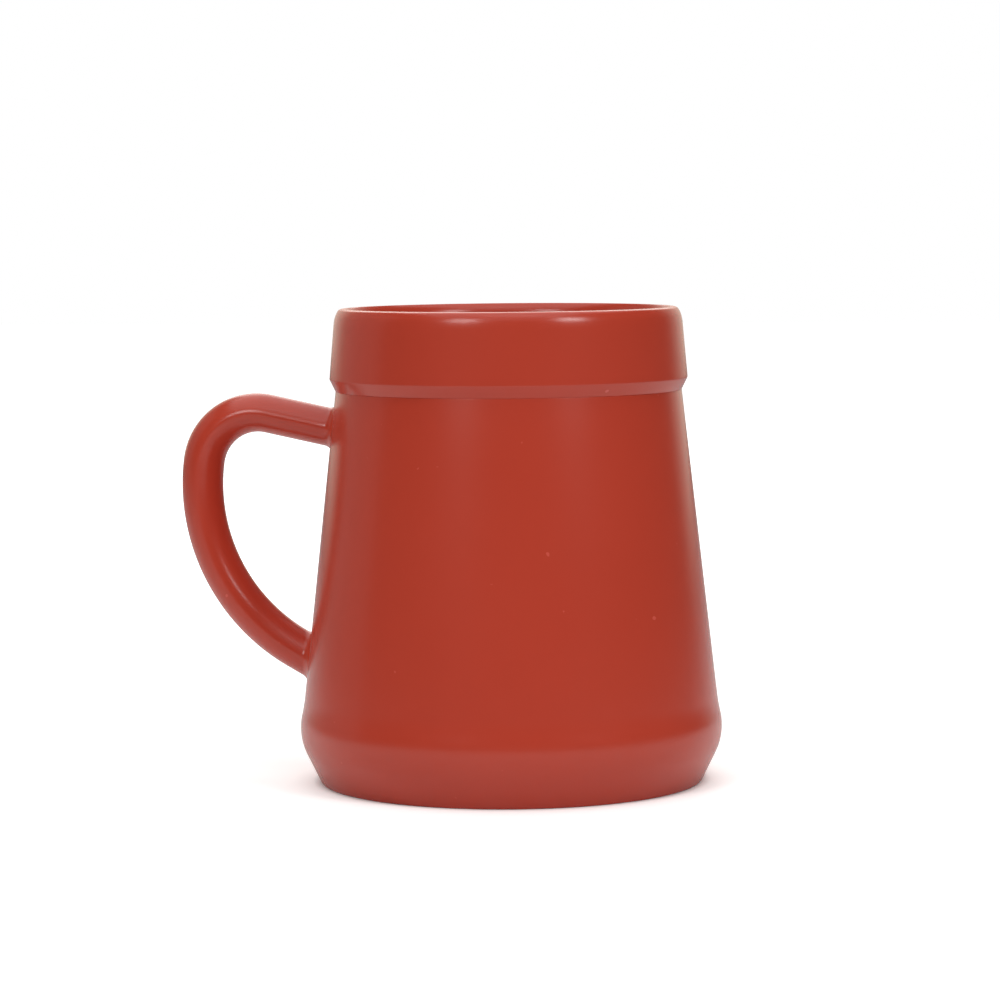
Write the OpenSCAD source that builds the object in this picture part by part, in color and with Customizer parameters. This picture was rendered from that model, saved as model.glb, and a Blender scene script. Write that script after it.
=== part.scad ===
// Mate cup with a round handle: a double-walled moulded cup, wider at the foot than at the mouth.
// Millimetres, +Z up, origin on the table at the middle of the foot, handle towards -X.

/* [Body] */
// Height of the cup from the table to the rim
cup_h = 100.4; // [92:0.2:115]
// Diameter of the belly, the widest line of the body
belly_d = 89.6; // [84:0.2:100]
// Height of the widest line of the belly
belly_z = 11.6; // [10:0.2:14]
// Radius of the rounded belly
belly_round = 12.3; // [9:0.1:14]
// How far the belly stands proud of the straight wall's line
belly_proud = 0.3; // [0.1:0.05:0.6]
// Radius of the hollow sweep from the belly into the straight wall
sweep_round = 34; // [15:1:50]
// Lean of the bevel between the belly and the foot, in degrees from upright
foot_bevel = 26; // [15:1:36]
// Wall thickness of the outer shell
shell_wall = 2; // [1.4:0.1:2.4]
// Height of the solid ring under the shoulder that carries the collar
shoulder_h = 4; // [3:0.5:8]
// Width of the shoulder round the spigot
shoulder_w = 0.85; // [0.6:0.05:1.4]
// Wall thickness of the spigot that the collar slips over
spigot_wall = 1; // [0.8:0.05:1.4]

/* [Collar] */
// Height of the collar, from the shoulder of the body to the rim
collar_h = 17.4; // [12:0.2:22]
// How far the collar stands out past the shoulder
collar_proud = 1.25; // [0.8:0.05:2.5]
// Height of the bevel under the collar
collar_bevel = 2.55; // [1.5:0.05:4]
// Radius of the softened corner over that bevel
collar_edge = 0.6; // [0.3:0.1:1]
// Wall thickness of the collar beside the inner cup's flange
rim_wall = 0.9; // [0.7:0.05:1.4]
// How far under the rim the collar's straight face ends and a soft shoulder starts
rim_drop = 3.8; // [3:0.2:5]
// Radius of that soft shoulder
rim_sweep = 13; // [8:0.5:20]
// Width of the bevel round the outside of the rim
rim_edge = 0.6; // [0.3:0.1:1]
// How far the top of the rim falls from its crest outwards
rim_fall = 0.45; // [0.1:0.05:0.6]
// Diameter of the mouth inside the lip
mouth_d = 67.8; // [62:0.2:72]
// Width of the small bevel on the inside edge of the lip
lip_edge = 0.5; // [0.2:0.05:0.6]
// Depth of the lip inside the mouth
lip_h = 2; // [1.6:0.1:3]

/* [Inner cup] */
// How far the inner cup's wall stands in from the lip above it
liner_step = 0.4; // [0.2:0.05:1]
// Wall thickness of the inner cup
liner_wall = 1.1; // [0.9:0.05:1.6]
// Taper of the inner cup's wall, in degrees
liner_draft = 2; // [1.5:0.1:4]
// Thickness of the flange that hangs the inner cup on the spigot
flange_h = 1.6; // [1.2:0.1:2.4]
// Height of the inner cup's floor above the table
floor_z = 10.6; // [9:0.2:20]
// Radius of the round corner between its wall and its floor
floor_round = 9; // [4:0.5:15]

/* [Base] */
// Width of the foot ring that the cup stands on
foot_ring = 2.35; // [1.6:0.05:4]
// Width of the small bevel round the outside of that ring
foot_edge = 0.5; // [0.3:0.1:0.8]
// Thickness of the disc that closes the shell
disc_h = 2.1; // [1.5:0.1:2.6]
// How far the disc is set back from the table
disc_recess = 0.9; // [0.4:0.1:1.4]
// Width of the bevel round the disc's lower edge
disc_edge = 0.4; // [0.2:0.1:0.8]
// Width of the ledge in the shell that the disc is welded to
ledge_w = 2.6; // [1.5:0.1:4]
// Thickness of that ledge
ledge_h = 1.8; // [1.2:0.1:2.2]

/* [Handle] */
// How far under the shoulder the middle of the top arm leaves the wall
arm_drop = 8.3; // [6.5:0.1:14]
// Rise of the top arm above the level, in degrees
arm_rise = 12; // [5:1:20]
// Length of the straight top arm, from the wall to the bend
arm_l = 15; // [9:0.2:18]
// Thickness of the rod in the top arm
arm_d = 8.2; // [7:0.1:9]
// Thickness of the rod down the side
side_d = 8.9; // [7.5:0.1:10]
// Radius of the bend at the top, to the middle of the rod
bend_r = 12; // [9:0.2:14]
// Radius of the long curve down the side, to the middle of the rod
side_r = 40; // [34:0.5:50]
// How far over the hollow sweep the middle of the rod meets the wall again
root_rise = 7.5; // [7.4:0.1:16]
// Straight run of the rod into its lower root
foot_run = 4; // [3.2:0.2:6]
// Radius of the fillet where the rod meets the wall
root_fillet = 2; // [0.8:0.1:2.2]
// Diameter of the peg at each root, which passes through the wall
peg_d = 5; // [4:0.2:6]
// How far a peg reaches past the inside of the wall
peg_proud = 0.5; // [0.3:0.1:0.9]

/* [Fits] */
// Gap between the collar and the spigot, all round
collar_fit = 0.1; // [0.05:0.01:0.15]
// Gap between the inner cup and the spigot, all round
liner_fit = 0.15; // [0.1:0.01:0.25]
// Gap between the base disc and the foot ring, all round
disc_fit = 0.15; // [0.1:0.01:0.3]
// Gap between a handle root and the wall under it
root_gap = 0.1; // [0.06:0.01:0.2]
// Gap between a peg and its hole, all round
peg_fit = 0.1; // [0.05:0.01:0.2]

/* [Hidden] */

satin_red = [0.67, 0.23, 0.17];
inside_red = [0.62, 0.21, 0.16];
base_red = [0.58, 0.20, 0.15];

// A straight line of a section dips this far under the round that it runs into, so that the two always cross
dip = 0.002;
// Overshoot of a cutting shape past the face that it cuts
past = 5;
// Wider than any half section of the cup
clear_r = belly_d;
$fn = 180;

function unit(v) = v / norm(v);

// The stack at the mouth, from the inside out: inner cup, spigot of the shell, collar
mouth_r = mouth_d / 2;
liner_r = mouth_r - liner_step;
spigot_in_r = liner_r + liner_wall + liner_fit;
spigot_out_r = spigot_in_r + spigot_wall;
collar_in_r = spigot_out_r + collar_fit;
shoulder_z = cup_h - collar_h;
flange_z = cup_h - lip_h;
spigot_z = flange_z - flange_h;

// The outside of the body, in the half section [radius, height]: the bevel rises from the foot onto the round
// belly, a hollow sweep follows, and the straight wall rises to the shoulder at a lean that makes the belly
// stand proud of it by belly_proud.
shoulder = [spigot_out_r + shoulder_w, shoulder_z];
belly_c = [belly_d / 2 - belly_round, belly_z];
bevel_out = [cos(foot_bevel), -sin(foot_bevel)];
foot = [belly_c.x + (belly_round + belly_z * bevel_out.y) / bevel_out.x, 0];
to_belly = belly_c - shoulder;
behind_wall = belly_round - belly_proud;
lean = atan2(to_belly.y, to_belly.x) + acos(-behind_wall / norm(to_belly));
wall_out = [cos(lean), sin(lean)];
wall_down = [sin(lean), -cos(lean)];
wall_run = to_belly * wall_down
  - sqrt((belly_round + sweep_round) ^ 2 - (sweep_round + behind_wall) ^ 2);
sweep_top = shoulder + wall_run * wall_down;
sweep_c = sweep_top + sweep_round * wall_out;
belly_to_sweep = unit(sweep_c - belly_c);

// The outside of the collar: from its corner over the bevel, straight up to the soft shoulder under the rim.
// The top of the rim is a land that rises from its outside bevel to a crest at the lip.
collar_corner = shoulder + [collar_proud, collar_bevel];
collar_up = unit([collar_in_r + rim_wall, flange_z] - collar_corner);
collar_top = collar_corner + (cup_h - rim_drop - collar_corner.y) / collar_up.y * collar_up;
rim_c = collar_top - rim_sweep * [collar_up.y, -collar_up.x];
crest = [mouth_r + lip_edge, cup_h];
land_z = cup_h - rim_fall;
land_out = [rim_c.x + sqrt(rim_sweep ^ 2 - (land_z - rim_c.y) ^ 2) - rim_edge, land_z];

// The centre of the inner cup's round floor corner, set in from its tapered wall
liner_out = [cos(liner_draft), -sin(liner_draft)];
corner_z = floor_z + floor_round;
corner_c = [
  liner_r - (flange_z - corner_z) * tan(liner_draft) - floor_round / cos(liner_draft),
  corner_z
];

// The base: a disc welded under a ledge, inside the foot ring
seat_r = foot.x - foot_ring;
disc_r = seat_r - disc_fit;
ledge_r = seat_r - ledge_w;
ledge_z = disc_recess + disc_h;
air_z = ledge_z + ledge_h;

// The handle's middle line, in its plane [distance from the axis, height]: a straight arm that rises from the
// wall, a tight bend, a long curve down the side and a short straight run into the lower root. The long curve
// leaves the bend smoothly and ends on the wall, which places its centre. Headings are degrees above level,
// outwards, and fall as the rod turns down and back.
arm_start = shoulder + arm_drop * [tan(lean), -1];
bend_start = arm_start + arm_l * [cos(arm_rise), sin(arm_rise)];
bend_c = bend_start + bend_r * [sin(arm_rise), -cos(arm_rise)];
side_end = sweep_top - root_rise * wall_down;
to_end = side_end - bend_c;
to_end_l = norm(to_end);
side_reach = ((side_r - bend_r) ^ 2 - side_r ^ 2 + to_end_l ^ 2) / (2 * to_end_l);
side_offset = sqrt((side_r - bend_r) ^ 2 - side_reach ^ 2);
side_c = bend_c + (side_reach * to_end + side_offset * [to_end.y, -to_end.x]) / to_end_l;
side_heading = atan2(side_c.x - bend_c.x, bend_c.y - side_c.y);
wall_heading = atan2(side_c.x - side_end.x, side_end.y - side_c.y);
foot_heading = wall_heading + foot_run / side_r * 180 / PI;

// Points round the rod, and rings along each stretch of it
rod_sides = 36;
fillet_rings = 6;
bend_rings = 14;
side_rings = 20;
cone_k = tan(lean);
cone_r0 = shoulder.x + shoulder_z * cone_k;
across = [0, 1, 0];

function along(heading) = [-cos(heading), 0, sin(heading)];
function inward(heading) = [-sin(heading), 0, -cos(heading)];
function in_space(p) = [-p.x, 0, p.y];
function on_arc(c, r, heading) = c + r * [-sin(heading), cos(heading)];
function mix(a, b, t) = a + (b - a) * t;

// A round of radius r in the corner at k, between the ways to a and b: its centre and its two ends
function corner_round(k, a, b, r) =
  let (
    u = unit(a - k),
    v = unit(b - k),
    half_sin = sqrt((1 - u * v) / 2),
    half_cos = sqrt((1 + u * v) / 2)
  )
    [k + unit(u + v) * r / half_sin, k + u * r * half_cos / half_sin, k + v * r * half_cos / half_sin];

// One ring of points square to the rod
function rod_ring(p, heading, r) = [
  for (i = [0:rod_sides - 1])
    let (a = 360 * i / rod_sides)
      in_space(p) + r * (cos(a) * inward(heading) + sin(a) * across)
];

// How far a point moves along dir, which points away from the axis, to reach the straight wall
function to_wall(p, dir) =
  let (
    w = cone_r0 - cone_k * p.z,
    e = -cone_k * dir.z,
    a = dir.x ^ 2 + dir.y ^ 2 - e ^ 2,
    b = p.x * dir.x + p.y * dir.y - w * e,
    c = p.x ^ 2 + p.y ^ 2 - w ^ 2
  )
    (sqrt(b ^ 2 - a * c) - b) / a;

// A ring of points that stand off the wall by lift, measured along dir
function seat_ring(p, heading, r, dir, lift) = [
  for (q = rod_ring(p, heading, r)) q + (to_wall(q, dir) + lift) * dir
];

// The fillet at a root, from the wall (turn 90) to the plain rod (turn 0)
function fillet_ring(p, heading, r, dir, turn) =
  seat_ring(p, heading, r + root_fillet * (1 - cos(turn)), dir, root_gap + root_fillet * (1 - sin(turn)));

// Length of a peg, through the wall at the rod's own slant
function peg_reach(heading) = shell_wall / abs(cos(heading - lean)) + peg_proud;

// The two roots: a point on the middle line, the heading of the rod there and the way out of the wall
top_root = [arm_start, arm_rise, along(arm_rise)];
low_root = [on_arc(side_c, side_r, foot_heading), foot_heading, -along(foot_heading)];

function seat_point(root) =
  let (p = in_space(root[0])) p + to_wall(p, root[2]) * root[2];

// A root's rings in order from the peg's end to the rod
function root_rings(root, r) =
  let (
    peg_r = peg_d / 2,
    end = seat_point(root) - peg_reach(root[1]) * root[2]
  )
    concat(
      [rod_ring([-end.x, end.z], root[1], peg_r)],
      [seat_ring(root[0], root[1], peg_r, root[2], root_gap)],
      [for (i = [fillet_rings:-1:0]) fillet_ring(root[0], root[1], r, root[2], 90 * i / fillet_rings)]
    );

function reversed(rings) = [for (i = [len(rings) - 1:-1:0]) rings[i]];

// Triangles that join the rings in order and close both ends
function skin_faces(count) = concat(
  [[for (i = [0:rod_sides - 1]) i]],
  [
    for (k = [0:count - 2])
      for (i = [0:rod_sides - 1])
        let (
          j = (i + 1) % rod_sides,
          a = k * rod_sides + i,
          b = k * rod_sides + j
        )
          each [[a, a + rod_sides, b], [b, a + rod_sides, b + rod_sides]]
  ],
  [[for (i = [rod_sides - 1:-1:0]) (count - 1) * rod_sides + i]]
);

// The half section inside the body's outside, moved in by inset
module body_area(inset) {
  difference() {
    union() {
      polygon([
        [0, foot.y - inset * bevel_out.y],
        foot - inset * bevel_out,
        belly_c + (belly_round - inset - dip) * bevel_out,
        belly_c + (belly_round - inset) * belly_to_sweep,
        sweep_c - (sweep_round + inset - dip) * wall_out,
        shoulder - inset * wall_out,
        [0, shoulder.y - inset * wall_out.y]
      ]);
      translate(belly_c)
        circle(r = belly_round - inset);
    }
    translate(sweep_c)
      circle(r = sweep_round + inset + dip);
    translate([0, -clear_r])
      square([clear_r, clear_r]);
  }
}

// The half section inside the inner cup's wall, moved out by grow and open at top_z
module liner_area(grow, top_z) {
  intersection() {
    union() {
      polygon([
        [0, floor_z - grow],
        [corner_c.x, floor_z - grow],
        corner_c + (floor_round + grow) * liner_out,
        [liner_r + grow / cos(liner_draft) + (top_z - flange_z) * tan(liner_draft), top_z],
        [0, top_z]
      ]);
      translate(corner_c)
        circle(r = floor_round + grow + dip);
    }
    translate([0, floor_z - grow])
      square([clear_r, cup_h]);
  }
}

// The way into the shell for the peg of one root
module peg_hole(root) {
  p = seat_point(root);
  translate(p)
    rotate([0, atan2(root[2].x, root[2].z), 0])
      translate([0, 0, -peg_reach(root[1]) - past])
        cylinder(h = peg_reach(root[1]) + 2 * past, d = peg_d + 2 * peg_fit);
}

module outer_shell() {
  color(satin_red)
    difference() {
      rotate_extrude()
        difference() {
          union() {
            body_area(0);
            translate([0, shoulder_z - shoulder_h])
              square([spigot_out_r, spigot_z - shoulder_z + shoulder_h]);
          }
          // the air space between the ledge and the shoulder's ring
          intersection() {
            body_area(shell_wall);
            translate([0, air_z])
              square([clear_r, shoulder_z - shoulder_h - air_z]);
          }
          // the bore of the spigot, the way through the ledge and the seat of the base disc
          translate([0, air_z + past])
            square([spigot_in_r, cup_h]);
          translate([0, -past])
            square([ledge_r, air_z + 2 * past]);
          translate([0, -past])
            square([seat_r, ledge_z + past]);
          // the bevel round the foot
          polygon([
            foot - [foot_edge, 0],
            foot + [past, 0],
            foot + [past, past],
            foot + foot_edge * [sin(foot_bevel), cos(foot_bevel)]
          ]);
        }
      peg_hole(top_root);
      peg_hole(low_root);
    }
}

module rim_collar() {
  edge = corner_round(collar_corner, shoulder, collar_top, collar_edge);
  color(satin_red)
    rotate_extrude()
      difference() {
        intersection() {
          union() {
            polygon([[0, shoulder_z], shoulder, edge[1], edge[2], collar_top, crest, [0, cup_h]]);
            translate(edge[0])
              circle(r = collar_edge + dip);
            translate(rim_c)
              circle(r = rim_sweep + dip);
          }
          // everything under the crest, the land and the bevel outside it
          polygon([
            [0, shoulder_z],
            land_out + (land_z - shoulder_z) * [1, -1],
            land_out,
            crest,
            [0, cup_h]
          ]);
        }
        // the seat for the spigot and the flange, and the mouth with its small bevel
        translate([0, shoulder_z - past])
          square([collar_in_r, flange_z - shoulder_z + past]);
        square([mouth_r, cup_h + past]);
        polygon([
          [mouth_r - past, cup_h - lip_edge - past],
          [mouth_r + lip_edge + past, cup_h + past],
          [mouth_r - past, cup_h + past]
        ]);
      }
}

module inner_cup() {
  color(inside_red)
    rotate_extrude()
      difference() {
        union() {
          liner_area(liner_wall, flange_z);
          translate([0, spigot_z])
            square([spigot_out_r, flange_h]);
        }
        liner_area(0, cup_h);
      }
}

module base_disc() {
  color(base_red)
    rotate_extrude()
      polygon([
        [0, disc_recess],
        [disc_r - disc_edge, disc_recess],
        [disc_r, disc_recess + disc_edge],
        [disc_r, ledge_z],
        [0, ledge_z]
      ]);
}

module handle() {
  rings = concat(
    root_rings(top_root, arm_d / 2),
    [
      for (i = [0:bend_rings])
        let (heading = mix(arm_rise, side_heading, i / bend_rings))
          rod_ring(on_arc(bend_c, bend_r, heading), heading, mix(arm_d, side_d, i / bend_rings) / 2)
    ],
    [
      for (i = [1:side_rings])
        let (heading = mix(side_heading, foot_heading, i / side_rings))
          rod_ring(on_arc(side_c, side_r, heading), heading, side_d / 2)
    ],
    reversed(root_rings(low_root, side_d / 2))
  );
  color(satin_red)
    polyhedron(points = [for (r = rings) each r], faces = skin_faces(len(rings)));
}

outer_shell();
rim_collar();
inner_cup();
base_disc();
handle();
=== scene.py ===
# %% [markdown]
# # A moulded mate cup with a round handle
# This lesson dresses a finished CAD model of a mate cup: a double-walled cup in satin red plastic, wider at the
# foot than at the mouth, with a collar round the rim and one bent handle. The CAD model is the fixed frame. Its
# pieces are remade here as smooth meshes with softened edges, and they get materials, light and a camera. The
# sizes of the pieces are in millimetres, and MM turns them into Blender's metres.

# %% Load the frame
import math

import bmesh
import bpy
from mathutils import Matrix, Vector


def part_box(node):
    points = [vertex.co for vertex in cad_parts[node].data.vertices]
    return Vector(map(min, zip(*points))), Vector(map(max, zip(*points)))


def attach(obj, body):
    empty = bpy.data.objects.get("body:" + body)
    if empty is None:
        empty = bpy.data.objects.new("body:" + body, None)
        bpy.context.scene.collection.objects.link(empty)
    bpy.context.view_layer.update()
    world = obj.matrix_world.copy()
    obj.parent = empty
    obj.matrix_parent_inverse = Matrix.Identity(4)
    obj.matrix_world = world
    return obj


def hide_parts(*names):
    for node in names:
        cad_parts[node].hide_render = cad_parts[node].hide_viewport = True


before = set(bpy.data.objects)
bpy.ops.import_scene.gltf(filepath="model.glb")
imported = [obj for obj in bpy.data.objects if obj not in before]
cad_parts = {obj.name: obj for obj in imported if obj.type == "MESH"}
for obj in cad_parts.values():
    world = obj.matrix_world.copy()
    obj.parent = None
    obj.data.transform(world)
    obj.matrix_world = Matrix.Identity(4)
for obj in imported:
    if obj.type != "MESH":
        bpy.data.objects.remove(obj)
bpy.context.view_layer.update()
MM = 0.001
print("CAD nodes:", sorted(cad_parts))

# %% [markdown]
# ## The camera
# The photograph was taken with a long lens from a little above the rim, so the rings of the cup show as flat
# ellipses. The rings' shapes give the distance, the height and the tilt. The handle points a little away from the
# camera, so the camera stands ten degrees round the cup. It also leans a fraction of a degree to one side. A long
# lens is set by its focal length on a 36 mm sensor.

# %% Camera
camera_round, camera_down, camera_lean = math.radians(10), math.radians(4.62), -0.0085
camera_turn = Matrix.Rotation(camera_round, 4, "Z")
camera_tilt = Matrix.Rotation(math.pi / 2 - camera_down, 4, "X")
camera_roll = Matrix.Rotation(camera_lean, 4, "Z")
camera_stand = Vector((-2.02, -761.75, 121.14)) * MM
camera_place = camera_turn @ camera_stand
camera_data = bpy.data.cameras.new("camera")
camera_data.lens = 129.7
camera_data.sensor_width = 36
camera = bpy.data.objects.new("camera", camera_data)
camera.matrix_world = Matrix.Translation(camera_place) @ camera_turn @ camera_tilt @ camera_roll
bpy.context.scene.collection.objects.link(camera)
bpy.context.scene.camera = camera
print("camera at", [round(v, 3) for v in camera_place], "lens", camera_data.lens)

# %% [markdown]
# ## Arcs and soft corners
# The outlines of moulded pieces are straight lines and arcs that run into each other, and no corner is quite sharp.
# A half section is drawn here as a list of points, each with its radius from the axis and its height. A Bevel
# modifier could soften the corners later, but an arc in the section gives each corner a radius of its own.

# %% Points for a section


def ray(degrees):
    """The way at an angle from the outward level, as [out, up]."""
    return Vector((math.cos(math.radians(degrees)), math.sin(math.radians(degrees))))


def arc(centre, radius, start, end, count):
    """Points on an arc, its angles in degrees from the outward level."""
    angles = [math.radians(start + (end - start) * i / count) for i in range(count + 1)]
    return [(centre[0] + radius * math.cos(a), centre[1] + radius * math.sin(a)) for a in angles]


def rounded(before, corner, after, radius, count=5):
    """The corner of a section, replaced by an arc that meets both of its straight lines smoothly."""
    k = Vector(corner)
    u, v = (Vector(before) - k).normalized(), (Vector(after) - k).normalized()
    half = u.angle(v) / 2
    centre = k + (u + v).normalized() * radius / math.sin(half)
    start, end = k + u * radius / math.tan(half) - centre, k + v * radius / math.tan(half) - centre
    sweep = start.angle_signed(end)
    points = []
    for i in range(count + 1):
        turned_arm = start.copy()
        turned_arm.rotate(Matrix.Rotation(-sweep * i / count, 2))
        points.append(tuple(centre + turned_arm))
    return points


print("a soft corner:", [tuple(round(v, 2) for v in p) for p in rounded((0, 1), (0, 0), (1, 0), 0.5, 2)])

# %% [markdown]
# ## Turning a section
# The shell, the collar, the inner cup and the base are bodies of revolution: their moulds are turned on a lathe.
# In Blender the Spin tool does the same. One vertex is extruded from point to point along the half section, and
# the finished line is spun round the Z axis. Rings of a primitive cylinder could be scaled one by one instead,
# but a section is easier to read and to change.

# %% A lathe made of extrude and spin
TURN_STEPS = 192
SAME_POINT = 1e-6
TURNED_CREASE = math.radians(30)


def turned(name, section):
    """Extrudes one vertex along a closed half section in mm and spins it round the Z axis."""
    bpy.ops.object.select_all(action="DESELECT")
    start = Vector((section[0][0], 0, section[0][1])) * MM
    bpy.ops.mesh.primitive_plane_add(size=MM, location=start)
    piece = bpy.context.object
    piece.name = piece.data.name = name
    bpy.ops.object.transform_apply(location=True, rotation=True, scale=True)
    bpy.ops.object.mode_set(mode="EDIT")
    bpy.ops.mesh.select_all(action="SELECT")
    bpy.ops.mesh.merge(type="CENTER")
    for here, there in zip(section, section[1:] + section[:1]):
        step = Vector((there[0] - here[0], 0, there[1] - here[1])) * MM
        bpy.ops.mesh.extrude_vertices_move(TRANSFORM_OT_translate={"value": step})
    bpy.ops.mesh.select_all(action="SELECT")
    bpy.ops.mesh.spin(steps=TURN_STEPS, angle=2 * math.pi, center=(0, 0, 0), axis=(0, 0, 1))
    bpy.ops.mesh.select_all(action="SELECT")
    bpy.ops.mesh.remove_doubles(threshold=SAME_POINT)
    bpy.ops.mesh.normals_make_consistent(inside=False)
    bpy.ops.object.mode_set(mode="OBJECT")
    bpy.ops.object.shade_smooth_by_angle(angle=TURNED_CREASE)
    print(name, "faces:", len(piece.data.polygons), "size mm:", [round(v / MM, 2) for v in piece.dimensions])
    return piece


# %% [markdown]
# ## The lines of the outer shell
# The shell swells over a rounded belly, draws in through a hollow sweep and rises as a straight wall to the shoulder
# under the collar. Only a few sizes are free. The wall leans so that the belly stands a little proud of its line,
# and the sweep has to touch both the wall and the belly, so its centre is worked out and not guessed.

# %% Wall and sweep
shell_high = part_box("outer_shell")[1]
belly_r, spigot_top = shell_high.x / MM, shell_high.z / MM
belly_round, belly_z, belly_proud = 12.3, 11.6, 0.3
sweep_round = 34.0
shoulder = Vector((36.6, 83.0))
belly_c = Vector((belly_r - belly_round, belly_z))
to_belly = belly_c - shoulder
behind_wall = belly_round - belly_proud
lean = math.degrees(math.atan2(to_belly.y, to_belly.x) + math.acos(-behind_wall / to_belly.length))
wall_out, wall_down = ray(lean), ray(lean - 90)
past_sweep = math.sqrt((belly_round + sweep_round) ** 2 - (sweep_round + behind_wall) ** 2)
sweep_top = shoulder + (to_belly.dot(wall_down) - past_sweep) * wall_down
sweep_c = sweep_top + sweep_round * wall_out
belly_to_sweep = sweep_c - belly_c
joint_angle = math.degrees(math.atan2(belly_to_sweep.y, belly_to_sweep.x))
print("wall leans", round(lean, 3), "sweep from", tuple(round(v, 3) for v in sweep_top))

# %% [markdown]
# ## The outer shell
# Under the belly a bevel leads in to a narrow foot ring. Inside the ring is a ledge that the base disc is welded
# to, and above the shoulder a thin spigot carries on inside the collar. All of it is one moulded piece, so it is
# one section, drawn down the outside and up the inside of the wall.

# %% Outer shell
spigot_in, spigot_out = 34.75, 35.75
shell_wall, shoulder_ring = 2.0, 4.0
foot_bevel, foot_ring, ledge_w, ledge_h = 26.0, 2.35, 2.6, 1.8
shoulder_soft, foot_soft, seat_soft = 0.12, 0.6, 0.3

bevel_down = ray(-foot_bevel)
foot_r = belly_c.x + (belly_round + belly_z * bevel_down.y) / bevel_down.x
seat_r = foot_r - foot_ring
ledge_r = seat_r - ledge_w
ledge_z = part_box("base_disc")[1].z / MM
air_z, ring_z = ledge_z + ledge_h, shoulder.y - shoulder_ring
foot, seat = (foot_r, 0), (seat_r, 0)

belly = arc(belly_c, belly_round, joint_angle, -foot_bevel, count=24)
belly_inside = arc(belly_c, belly_round - shell_wall, joint_angle, -foot_bevel, count=10)
sweep = arc(sweep_c, sweep_round, 180 + lean, 180 + joint_angle, count=10)
sweep_inside = arc(sweep_c, sweep_round + shell_wall, 180 + lean, 180 + joint_angle, count=4)
air_r = belly_inside[-1][0] + (belly_inside[-1][1] - air_z) * bevel_down.y / bevel_down.x
ring_r = shoulder.x + (shoulder_ring * wall_out.y - shell_wall) / wall_out.x
shell_section = [
    (spigot_in, spigot_top),
    (spigot_out, spigot_top),
    (spigot_out, shoulder.y),
    *rounded((spigot_out, shoulder.y), shoulder, sweep_top, shoulder_soft),
    *sweep[:-1],
    *belly,
    *rounded(belly[-1], foot, seat, foot_soft),
    *rounded(foot, seat, (seat_r, ledge_z), seat_soft),
    (seat_r, ledge_z),
    (ledge_r, ledge_z),
    (ledge_r, air_z),
    (air_r, air_z),
    *reversed(belly_inside),
    *reversed(sweep_inside[:-1]),
    (ring_r, ring_z),
    (spigot_in, ring_z),
]
shell = turned("shell", shell_section)
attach(shell, "root")
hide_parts("outer_shell")

# %% [markdown]
# ## The collar
# The collar is a moulded band pressed over the spigot. A bevel under it leads out to a soft corner, its face leans
# in by about five degrees and draws in over a soft shoulder to the rim. The top of the rim is a narrow land that
# rises to a crest, and inside the crest the lip rolls down to the inner cup. Each arc of the rim starts where the
# last one ended and at the same slope, so the rim has no kink. The crest is only broken, so it stays crisp and
# catches a thin bright line of light.

# %% The rim's arcs
rim_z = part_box("rim_collar")[1].z / MM
collar_in, collar_wall, flange_z = 35.85, 0.9, 98.4
collar_proud, collar_bevel, rim_drop = 1.25, 2.55, 3.8
collar_corner = shoulder + Vector((collar_proud, collar_bevel))
face_up = Vector((collar_in + collar_wall, flange_z)) - collar_corner
face_top = collar_corner + (rim_z - rim_drop - collar_corner.y) / face_up.y * face_up
rim, slope = [tuple(face_top)], math.degrees(math.atan2(-face_up.x, face_up.y))
for radius, end_slope, count in ((13.0, 12.44, 8), (4.85, 34, 8), (0.8, 66, 6), (1.6, 88, 6)):
    centre = Vector(rim[-1]) - radius * ray(slope)
    rim += arc(centre, radius, slope, end_slope, count)[1:]
    slope = end_slope
print("rim points:", len(rim), "up to", tuple(round(v, 2) for v in rim[-1]))

# %% Rim collar
crest, lip_round, lip_start, lip_end = Vector((34.35, rim_z)), 4.13, 135, 165
bevel_soft, corner_soft, crest_soft = 0.1, 0.6, 0.2
lip_roll = arc(crest - lip_round * ray(lip_start), lip_round, lip_start, lip_end, count=8)
collar_section = [
    (collar_in, shoulder.y),
    *rounded((collar_in, shoulder.y), shoulder, collar_corner, bevel_soft),
    *rounded(shoulder, collar_corner, rim[0], corner_soft, count=8),
    *rim,
    *rounded(rim[-1], crest, lip_roll[1], crest_soft, count=6),
    *lip_roll[1:],
    (lip_roll[-1][0], flange_z),
    (collar_in, flange_z),
]
collar = turned("collar", collar_section)
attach(collar, "root")
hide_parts("rim_collar")

# %% [markdown]
# ## The inner cup
# The drink is held by a liner that hangs on the spigot by a small flange. Its wall tapers by two degrees so that it
# leaves its mould, and its floor is joined by a wide round corner that is easy to clean. Only the top of its far
# side shows in the photograph, under a fine dark seam below the lip.

# %% Inner cup
liner_r, liner_wall, liner_draft = 33.5, 1.1, 2.0
floor_z, floor_round, liner_soft = 10.6, 9.0, 0.2
flange_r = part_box("inner_cup")[1].x / MM
liner_out = ray(liner_draft)
corner_z = floor_z + floor_round
corner_r = liner_r - ((flange_z - corner_z) * liner_out.y + floor_round) / liner_out.x
outer_top = liner_r + (liner_wall - (flange_z - spigot_top) * liner_out.y) / liner_out.x
inside = arc((corner_r, corner_z), floor_round, -90, -liner_draft, count=14)
outside = arc((corner_r, corner_z), floor_round + liner_wall, -90, -liner_draft, count=10)
cup_section = [
    (0, floor_z),
    *inside,
    *rounded(inside[-1], (liner_r, flange_z), (flange_r, flange_z), liner_soft, count=3),
    (flange_r, flange_z),
    (flange_r, spigot_top),
    (outer_top, spigot_top),
    *reversed(outside),
    (0, floor_z - liner_wall),
]
cup = turned("cup", cup_section)
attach(cup, "root")
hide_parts("inner_cup")

# %% [markdown]
# ## The base disc
# A plain disc closes the shell from below. It sits back from the table inside the foot ring, with a broken lower
# edge, so the cup stands on the ring alone.

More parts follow.
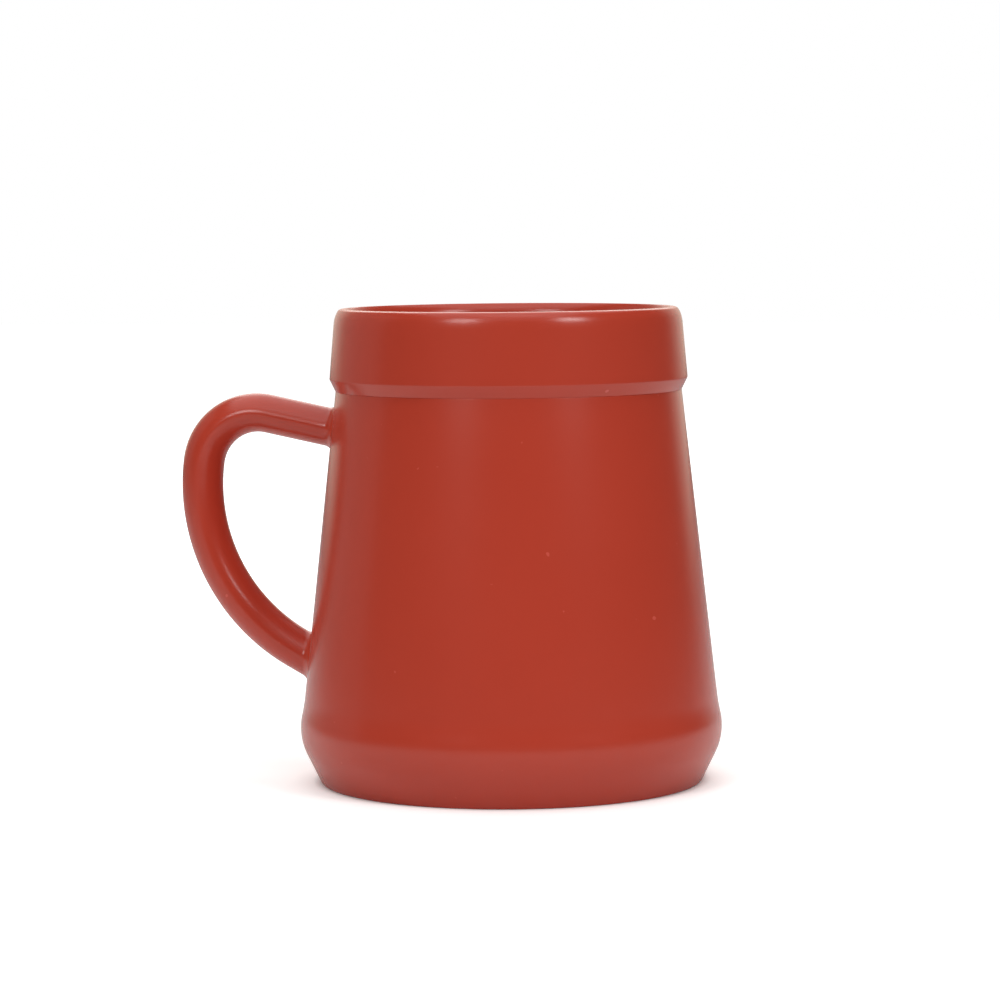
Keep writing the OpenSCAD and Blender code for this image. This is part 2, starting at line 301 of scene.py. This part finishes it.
# %% Base disc
disc_low, disc_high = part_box("base_disc")
disc_r, disc_z, disc_top = disc_high.x / MM, disc_low.z / MM, disc_high.z / MM
disc_soft = 0.45
disc_section = [
    (0, disc_z),
    *rounded((0, disc_z), (disc_r, disc_z), (disc_r, disc_top), disc_soft),
    (disc_r, disc_top),
    (0, disc_top),
]
disc = turned("disc", disc_section)
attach(disc, "root")
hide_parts("base_disc")

# %% [markdown]
# ## The handle's middle line
# The handle is one rod: a straight arm that rises from the wall, a tight bend, a long curve down the side and a short
# straight run back into the wall. The long curve leaves the bend smoothly and ends on the wall, and these two
# demands place its centre. A heading is the angle of the rod above the outward level.

# %% Arm, bend and side
arm_drop, arm_rise, arm_l = 8.3, 12.0, 15.0
bend_r, side_r = 12.0, 40.0
root_rise, foot_run = 7.5, 4.0


def heading_on_bend(centre, point):
    """The rod's heading where a bend round this centre passes a point."""
    return math.degrees(math.atan2(centre.x - point.x, point.y - centre.y))


arm_start = shoulder + arm_drop / -wall_down.y * wall_down
bend_start = arm_start + arm_l * ray(arm_rise)
bend_c = bend_start - bend_r * ray(arm_rise + 90)
side_end = sweep_top - root_rise * wall_down
to_end = side_end - bend_c
side_reach = ((side_r - bend_r) ** 2 - side_r**2 + to_end.length**2) / (2 * to_end.length)
side_offset = math.sqrt((side_r - bend_r) ** 2 - side_reach**2)
side_c = bend_c + (side_reach * to_end + side_offset * Vector((to_end.y, -to_end.x))) / to_end.length
side_heading = heading_on_bend(side_c, bend_c)
foot_heading = heading_on_bend(side_c, side_end) + math.degrees(foot_run / side_r)
print("side curve round", tuple(round(v, 3) for v in side_c))
print("its headings:", round(side_heading, 2), "to", round(foot_heading, 2))

# %% [markdown]
# ## Stations along the rod
# The rod gets a little thicker as it goes round the bend, so each place along it has its own radius. The rings
# of the mesh will stand at these places. They are closest where the rod turns most.

# %% Stations
ARM_RADIUS, SIDE_RADIUS = 4.1, 4.44
ARM_RINGS, BEND_RINGS, SIDE_RINGS = 8, 28, 36
ROOT_SHARE = 0.25


def smooth_step(t):
    return t * t * (3 - 2 * t)


stations = []
for i in range(ARM_RINGS + 1):
    along_arm = ROOT_SHARE + (1 - ROOT_SHARE) * i / ARM_RINGS
    stations.append((arm_start.lerp(bend_start, along_arm), arm_rise, ARM_RADIUS))
for i in range(1, BEND_RINGS + 1):
    heading = arm_rise + (side_heading - arm_rise) * i / BEND_RINGS
    radius = ARM_RADIUS + (SIDE_RADIUS - ARM_RADIUS) * smooth_step(i / BEND_RINGS)
    stations.append((bend_c + bend_r * ray(heading + 90), heading, radius))
for i in range(1, SIDE_RINGS + 1):
    heading = side_heading + (foot_heading - side_heading) * i / SIDE_RINGS
    stations.append((side_c + side_r * ray(heading + 90), heading, SIDE_RADIUS))
print("rod stations:", len(stations), "from", tuple(stations[0][0]), "to", tuple(stations[-1][0]))

# %% [markdown]
# ## The handle
# A curve with a bevel would give an even tube, but this rod changes its thickness, so a ring is extruded again and
# again, and each new ring is turned and scaled about its own centre. In the photograph the light breaks along the
# middle of the rod, so its section is not quite round: each half of the mould is a little deeper than a half circle
# and comes to a soft ridge in the middle. The first ring gets that section, and all the others inherit it.

# %% The first ring
ROD_SIDES = 64
RIDGE_DEPTH, RIDGE_POWER = 1.2, 1.2


def in_space(point):
    """A point of the handle's plane [out, up] in mm, as a place in Blender. The handle points to -X."""
    return Vector((-point[0], 0, point[1])) * MM


def ridged(point, middle, radius):
    """Moves a point of a round ring onto the deeper section with its soft ridge."""
    across, depth = (point - middle) * Vector((1, 0, 1)), point.y / radius
    slim = max(across.length / radius, SAME_POINT) ** (RIDGE_POWER - 1)
    deep = math.copysign(RIDGE_DEPTH * abs(depth) ** RIDGE_POWER, depth)
    return middle + across * slim + Vector((0, deep * radius, 0))


first, first_heading, first_radius = stations[0]
bpy.ops.object.select_all(action="DESELECT")
bpy.ops.mesh.primitive_circle_add(
    vertices=ROD_SIDES,
    radius=first_radius * MM,
    location=in_space(first),
    rotation=(0, math.radians(-90 + first_heading), 0),
)
rod = bpy.context.object
rod.name = rod.data.name = "rod"
bpy.ops.object.transform_apply(location=True, rotation=True, scale=True)
bpy.ops.object.mode_set(mode="EDIT")
bpy.ops.mesh.select_all(action="SELECT")
ring = bmesh.from_edit_mesh(rod.data)
for vert in ring.verts:
    vert.co = ridged(vert.co, in_space(first), first_radius * MM)
bmesh.update_edit_mesh(rod.data)
print("first ring:", len(rod.data.vertices), "points at", [round(v, 4) for v in in_space(first)])

# %% Extrude the rod
here, heading, radius = stations[0]
for there, next_heading, next_radius in stations[1:]:
    centre = in_space(there)
    bpy.ops.mesh.extrude_region_move(TRANSFORM_OT_translate={"value": centre - in_space(here)})
    turn = math.radians(next_heading - heading)
    bpy.ops.transform.rotate(value=-turn, orient_axis="Y", center_override=centre)
    bpy.ops.transform.resize(value=(next_radius / radius,) * 3, center_override=centre)
    here, heading, radius = there, next_heading, next_radius
bpy.ops.object.mode_set(mode="OBJECT")
ring_count = len(rod.data.vertices) // ROD_SIDES
print("rod rings:", ring_count)

# %% [markdown]
# ## The handle's roots
# Each end of the rod flares out and runs into the wall without a seam, as a moulded fillet does. The flare is a
# quarter of a circle: its rings get wider as they come closer to the wall, and one last ring is hidden in the wall.
# The wall is a cone, so a flat ring would leave it on two sides. No operator slides points along a slanted rod onto
# a cone, so a few lines of code do that.

# %% Rings of a root
ROOT_FILLET, ROOT_SINK = 2.0, 0.03
HIDDEN_SHARE, HIDDEN_DEPTH = 0.7, 0.8
FILLET_TURNS = [*range(0, 81, 8), 90]
cone_k = math.tan(math.radians(lean))
cone_r0 = (shoulder.x + shoulder.y * cone_k) * MM


def to_wall(point, way):
    """How far a point moves along a way out of the cup to reach the straight wall."""
    w, e = cone_r0 - cone_k * point.z, -cone_k * way.z
    a = way.x**2 + way.y**2 - e**2
    b = point.x * way.x + point.y * way.y - w * e
    c = point.x**2 + point.y**2 - w**2
    return (math.sqrt(b * b - a * c) - b) / a


def root_rings(radius):
    """The width of each ring of a root and its height over the wall, in mm."""
    rings = []
    for turn in FILLET_TURNS:
        a = math.radians(turn)
        lift = ROOT_FILLET * (1 - math.sin(a)) - ROOT_SINK * turn / 90
        rings.append((radius + ROOT_FILLET * (1 - math.cos(a)), lift))
    return rings + [(radius + HIDDEN_SHARE * ROOT_FILLET, -HIDDEN_DEPTH)]


print("rings of the upper root:", [tuple(round(v, 2) for v in r) for r in root_rings(ARM_RADIUS)])

# %% Flare the roots onto the wall
SHORT_STEP = 0.1
ROD_CREASE = math.radians(40)


def way_of(heading):
    """The rod's heading as a way in space."""
    return Vector((-ray(heading).x, 0, ray(heading).y))


def flare(end_ring, centre, way, radius):
    """Extrudes an end ring into a fillet that lies on the wall. The way points out of the cup."""
    bpy.ops.object.mode_set(mode="EDIT")
    bpy.ops.mesh.select_mode(type="VERT")
    bpy.ops.mesh.select_all(action="DESELECT")
    bpy.ops.object.mode_set(mode="OBJECT")
    for index in end_ring:
        rod.data.vertices[index].select = True
    bpy.ops.object.mode_set(mode="EDIT")
    bpy.ops.mesh.select_mode(type="EDGE")
    width = radius
    for wider, lift in root_rings(radius):
        bpy.ops.mesh.extrude_region_move(TRANSFORM_OT_translate={"value": -SHORT_STEP * MM * way})
        bpy.ops.transform.resize(value=(wider / width,) * 3, center_override=centre)
        work = bmesh.from_edit_mesh(rod.data)
        for vert in work.verts:
            if vert.select:
                vert.co += (to_wall(vert.co, way) + lift * MM) * way
        bmesh.update_edit_mesh(rod.data)
        width = wider
    bpy.ops.mesh.edge_face_add()
    bpy.ops.object.mode_set(mode="OBJECT")


flare(range(ROD_SIDES), in_space(stations[0][0]), way_of(arm_rise), ARM_RADIUS)
last_ring = range((ring_count - 1) * ROD_SIDES, ring_count * ROD_SIDES)
flare(last_ring, in_space(stations[-1][0]), -way_of(foot_heading), SIDE_RADIUS)
bpy.ops.object.mode_set(mode="EDIT")
bpy.ops.mesh.select_all(action="SELECT")
bpy.ops.mesh.normals_make_consistent(inside=False)
bpy.ops.object.mode_set(mode="OBJECT")
bpy.ops.object.shade_smooth_by_angle(angle=ROD_CREASE)
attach(rod, "root")
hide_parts("handle")
print("handle faces:", len(rod.data.polygons), "size mm:", [round(v / MM, 2) for v in rod.dimensions])

# %% [markdown]
# ## A satin moulded finish
# The plastic is coloured right through. Its surface is satin: a fine even grain from the mould spreads each
# reflection, a slow unevenness makes the highlights wander a little, and a few small scuffs are lighter. This
# group works out those values once, and each material sets its own amounts.

# %% Node group for the moulded surface
GRAIN_SCALE, CLOUD_SCALE, WAVE_SCALE, SCUFF_SCALE = 2600.0, 38.0, 16.0, 600.0
GRAIN_HEIGHT, WAVE_HEIGHT = 0.012, 0.35
SCUFF_START, SCUFF_FULL = 0.86, 0.90
SATIN_ROUGHNESS, ROUGHNESS_SPREAD = 0.24, 0.06


def map_range(nodes, low, high, start=0.0, end=1.0):
    """A node that turns the values from low to high into those from start to end."""
    node = nodes.new("ShaderNodeMapRange")
    for label, value in (("From Min", low), ("From Max", high), ("To Min", start), ("To Max", end)):
        node.inputs[label].default_value = value
    return node


def moulded_group():
    group = bpy.data.node_groups.new("moulded_surface", "ShaderNodeTree")
    for label, value in (
        ("Grain Size", GRAIN_SCALE),
        ("Roughness Base", SATIN_ROUGHNESS),
        ("Roughness Spread", ROUGHNESS_SPREAD),
    ):
        socket = group.interface.new_socket(label, in_out="INPUT", socket_type="NodeSocketFloat")
        socket.default_value = value
    for label in ("Mottle", "Scuffs", "Roughness", "Height"):
        group.interface.new_socket(label, in_out="OUTPUT", socket_type="NodeSocketFloat")
    nodes, links = group.nodes, group.links
    inputs, outputs = nodes.new("NodeGroupInput"), nodes.new("NodeGroupOutput")
    place = nodes.new("ShaderNodeTexCoord")

    def noise(scale, detail):
        node = nodes.new("ShaderNodeTexNoise")
        node.inputs["Scale"].default_value = scale
        node.inputs["Detail"].default_value = detail
        links.new(place.outputs["Object"], node.inputs["Vector"])
        return node

    def maths(operation, first, second):
        node = nodes.new("ShaderNodeMath")
        node.operation = operation
        for socket, value in zip(node.inputs, (first, second)):
            if isinstance(value, (int, float)):
                socket.default_value = value
            else:
                links.new(value, socket)
        return node.outputs[0]

    grain, cloud = noise(GRAIN_SCALE, detail=2.0), noise(CLOUD_SCALE, detail=3.0)
    wave, scuff = noise(WAVE_SCALE, detail=1.0), noise(SCUFF_SCALE, detail=0.0)
    links.new(inputs.outputs["Grain Size"], grain.inputs["Scale"])
    scuffs = map_range(nodes, SCUFF_START, SCUFF_FULL)
    links.new(scuff.outputs[0], scuffs.inputs["Value"])
    links.new(cloud.outputs[0], outputs.inputs["Mottle"])
    links.new(scuffs.outputs[0], outputs.inputs["Scuffs"])
    spread = maths("MULTIPLY", maths("SUBTRACT", cloud.outputs[0], 0.5), inputs.outputs["Roughness Spread"])
    links.new(maths("ADD", inputs.outputs["Roughness Base"], spread), outputs.inputs["Roughness"])
    fine = maths("MULTIPLY", grain.outputs[0], GRAIN_HEIGHT)
    slow = maths("MULTIPLY", wave.outputs[0], WAVE_HEIGHT)
    links.new(maths("ADD", fine, slow), outputs.inputs["Height"])
    return group


moulded = moulded_group()
print("group sockets:", [item.name for item in moulded.interface.items_tree])

# %% [markdown]
# ## The three reds
# The outside, the inner cup and the base are the same red plastic from three moulds. The outside and the inner cup
# are satin, and the base is more matt, as the hidden side of a mould is left. The colour drifts between a lighter
# and a darker red, and a scuff is paler than both.

# %% Materials
SCUFF_GAIN, SCUFF_LIFT = 1.15, 0.03
MATT_ROUGHNESS = 0.45


def colour_mix(nodes):
    node = nodes.new("ShaderNodeMix")
    node.data_type = "RGBA"
    return node


def red_plastic(name, light, dark, roughness):
    material = bpy.data.materials.new(name)
    material.use_nodes = True
    nodes, links = material.node_tree.nodes, material.node_tree.links
    shader = nodes["Principled BSDF"]
    shader.inputs["IOR"].default_value = 1.45
    surface = nodes.new("ShaderNodeGroup")
    surface.node_tree = moulded
    surface.inputs["Roughness Base"].default_value = roughness
    tint, worn = colour_mix(nodes), colour_mix(nodes)
    tint.inputs["A"].default_value = (*dark, 1)
    tint.inputs["B"].default_value = (*light, 1)
    worn.inputs["B"].default_value = (*[c * SCUFF_GAIN + SCUFF_LIFT for c in light], 1)
    links.new(surface.outputs["Mottle"], tint.inputs["Factor"])
    links.new(tint.outputs["Result"], worn.inputs["A"])
    links.new(surface.outputs["Scuffs"], worn.inputs["Factor"])
    links.new(worn.outputs["Result"], shader.inputs["Base Color"])
    links.new(surface.outputs["Roughness"], shader.inputs["Roughness"])
    bump = nodes.new("ShaderNodeBump")
    bump.inputs["Strength"].default_value = 0.35
    bump.inputs["Distance"].default_value = 0.0012
    links.new(surface.outputs["Height"], bump.inputs["Height"])
    links.new(bump.outputs["Normal"], shader.inputs["Normal"])
    return material


satin_red = red_plastic("satin_red", (0.505, 0.053, 0.0278), (0.484, 0.0488, 0.0252), SATIN_ROUGHNESS)
inner_red = red_plastic("inner_red", (0.505, 0.054, 0.0284), (0.484, 0.0498, 0.0256), SATIN_ROUGHNESS)
base_red = red_plastic("base_red", (0.48, 0.048, 0.025), (0.45, 0.044, 0.022), MATT_ROUGHNESS)
print("materials:", [m.name for m in (satin_red, inner_red, base_red)])

# %% Give each piece and its CAD node the material
for piece, node, material in (
    (shell, "outer_shell", satin_red),
    (collar, "rim_collar", satin_red),
    (rod, "handle", satin_red),
    (cup, "inner_cup", inner_red),
    (disc, "base_disc", base_red),
):
    for solid in (piece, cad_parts[node]):
        solid.data.materials.clear()
        solid.data.materials.append(material)
    print(piece.name, "and", node, "are", material.name)

# %% [markdown]
# ## The floor
# The photograph is a plain product shot on white. The floor is a pale surface that throws light back up under the
# belly, and its colour is painted darker away from the cup, a painted shade for the light that falls off far from the
# lamps. The camera alone sees it brighter, so that it turns white, and it still keeps the dark line where the foot
# touches it. Distances are in metres here.

# %% Floor
FLOOR_SIZE = 6
bpy.ops.object.select_all(action="DESELECT")
bpy.ops.mesh.primitive_plane_add(size=FLOOR_SIZE, location=(0, 0, 0))
floor = bpy.context.object
floor.name = floor.data.name = "floor"
print("floor size m:", [round(v, 2) for v in floor.dimensions])

# %% Floor material
SHADE_FADE, WHITE_RISE, FOOT_LINE = (0.1, 0.45), (0.1, 0.4), (0.0402, 0.0425)
NEAR_PALE, FAR_PALE, NEAR_WHITE = 0.92, 0.55, 0.32
floor_white = bpy.data.materials.new("floor_white")
floor_white.use_nodes = True
nodes, links = floor_white.node_tree.nodes, floor_white.node_tree.links
nodes.clear()
where = nodes.new("ShaderNodeTexCoord")
from_cup = nodes.new("ShaderNodeVectorMath")
from_cup.operation = "LENGTH"
links.new(where.outputs["Object"], from_cup.inputs[0])

matt = nodes.new("ShaderNodeBsdfDiffuse")
# Painted shade: the floor's colour darkens with distance from the cup in place of the light falling off far from the
# lamps.
painted_shade_fade = map_range(nodes, *SHADE_FADE, start=NEAR_PALE, end=FAR_PALE)
links.new(from_cup.outputs["Value"], painted_shade_fade.inputs["Value"])
links.new(painted_shade_fade.outputs[0], matt.inputs["Color"])

whiter = nodes.new("ShaderNodeMath")
# Partly painted shadow: the glow is held back in a thin ring round the foot, placed by distance from the cup, so the
# real contact shadow there stays dark.
at_foot = map_range(nodes, *FOOT_LINE, end=NEAR_WHITE)
away_from_foot = map_range(nodes, *WHITE_RISE, end=1 - NEAR_WHITE)
for socket, lift in zip(whiter.inputs, (at_foot, away_from_foot)):
    links.new(from_cup.outputs["Value"], lift.inputs["Value"])
    links.new(lift.outputs[0], socket)
seen = nodes.new("ShaderNodeLightPath")
seen_gain = nodes.new("ShaderNodeMath")
seen_gain.operation = "MULTIPLY"
links.new(seen.outputs["Is Camera Ray"], seen_gain.inputs[0])
links.new(whiter.outputs[0], seen_gain.inputs[1])
glow = nodes.new("ShaderNodeEmission")
links.new(seen_gain.outputs[0], glow.inputs["Strength"])

both = nodes.new("ShaderNodeAddShader")
links.new(matt.outputs[0], both.inputs[0])
links.new(glow.outputs[0], both.inputs[1])
output = nodes.new("ShaderNodeOutputMaterial")
links.new(both.outputs[0], output.inputs["Surface"])
floor.data.materials.append(floor_white)
print("floor nodes:", len(nodes))

# %% [markdown]
# ## The room
# A satin surface shows the room as soft patches. Behind the cup is the white backdrop, which brightens the edges of
# the cup. The room in front of it is dim, so the front keeps its deep red. The camera sees plain white everywhere.

# %% World
ROOM_TINT, PLAIN_WHITE = (1, 0.95, 0.8, 1), (1, 1, 1, 1)
BACKDROP_EDGE, DIM_ROOM = (0.55, 0.95), 0.05
backdrop_way = camera_turn @ Vector((0, 1, 0))
world = bpy.data.worlds.new("studio")
bpy.context.scene.world = world
world.use_nodes = True
nodes, links = world.node_tree.nodes, world.node_tree.links
nodes.clear()
place = nodes.new("ShaderNodeTexCoord")
facing = nodes.new("ShaderNodeVectorMath")
facing.operation = "DOT_PRODUCT"
facing.inputs[1].default_value = backdrop_way
links.new(place.outputs["Generated"], facing.inputs[0])
brightness = map_range(nodes, *BACKDROP_EDGE, start=DIM_ROOM)
brightness.interpolation_type = "SMOOTHSTEP"
links.new(facing.outputs["Value"], brightness.inputs["Value"])

room, plain = nodes.new("ShaderNodeBackground"), nodes.new("ShaderNodeBackground")
room.inputs["Color"].default_value = ROOM_TINT
plain.inputs["Color"].default_value = PLAIN_WHITE
links.new(brightness.outputs[0], room.inputs["Strength"])
share = nodes.new("ShaderNodeMixShader")
seen = nodes.new("ShaderNodeLightPath")
links.new(seen.outputs["Is Camera Ray"], share.inputs["Fac"])
links.new(room.outputs[0], share.inputs[1])
links.new(plain.outputs[0], share.inputs[2])
output = nodes.new("ShaderNodeOutputWorld")
links.new(share.outputs[0], output.inputs["Surface"])
print("world nodes:", len(nodes))

# %% [markdown]
# ## Soft boxes
# A wide soft box hangs over the cup and gives most of the light, and a weak one above the camera lights the front.
# Two small ones stand left and right of the camera: each leaves a pale patch on the shoulder of the rim and a soft
# streak down the body. One behind the cup draws the thin white line along the crest of the rim. A large weak card on
# the far left lifts the left edge and the handle. Each box is placed by its angle round the camera's line and above
# the level, in degrees, and its distance and size are in metres.

# %% Soft boxes
LIGHT_AIM = Vector((0, 0, 0.05))
for name, azimuth, elevation, distance, size, power in (
    ("soft_box_over", 0, 90, 1.05, 1.5, 10.4),
    ("soft_box_front", 0, 50, 1.3, 0.7, 1.0),
    ("soft_box_left", -32, 33, 1.3, 0.36, 3.65),
    ("soft_box_right", 45, 33, 1.3, 0.33, 4.2),
    ("soft_box_back", 180, 35, 1.3, 0.8, 3.3),
    ("soft_card_left", -110, 20, 1.2, 0.9, 0.75),
):
    lamp = bpy.data.lights.new(name, "AREA")
    lamp.shape = "SQUARE"
    lamp.size = size
    lamp.energy = power
    holder = bpy.data.objects.new(name, lamp)
    a, e = math.radians(azimuth), math.radians(elevation)
    away = camera_turn @ Vector((math.sin(a) * math.cos(e), -math.cos(a) * math.cos(e), math.sin(e)))
    holder.location = LIGHT_AIM + distance * away
    holder.rotation_euler = away.to_track_quat("Z", "Y").to_euler()
    bpy.context.scene.collection.objects.link(holder)
    print(name, "at", [round(v, 2) for v in holder.location], "power", power)

# %% [markdown]
# ## The view
# The Standard view shows colours about as they are written, which a product shot on white needs.

# %% View settings
bpy.context.scene.view_settings.view_transform = "Standard"
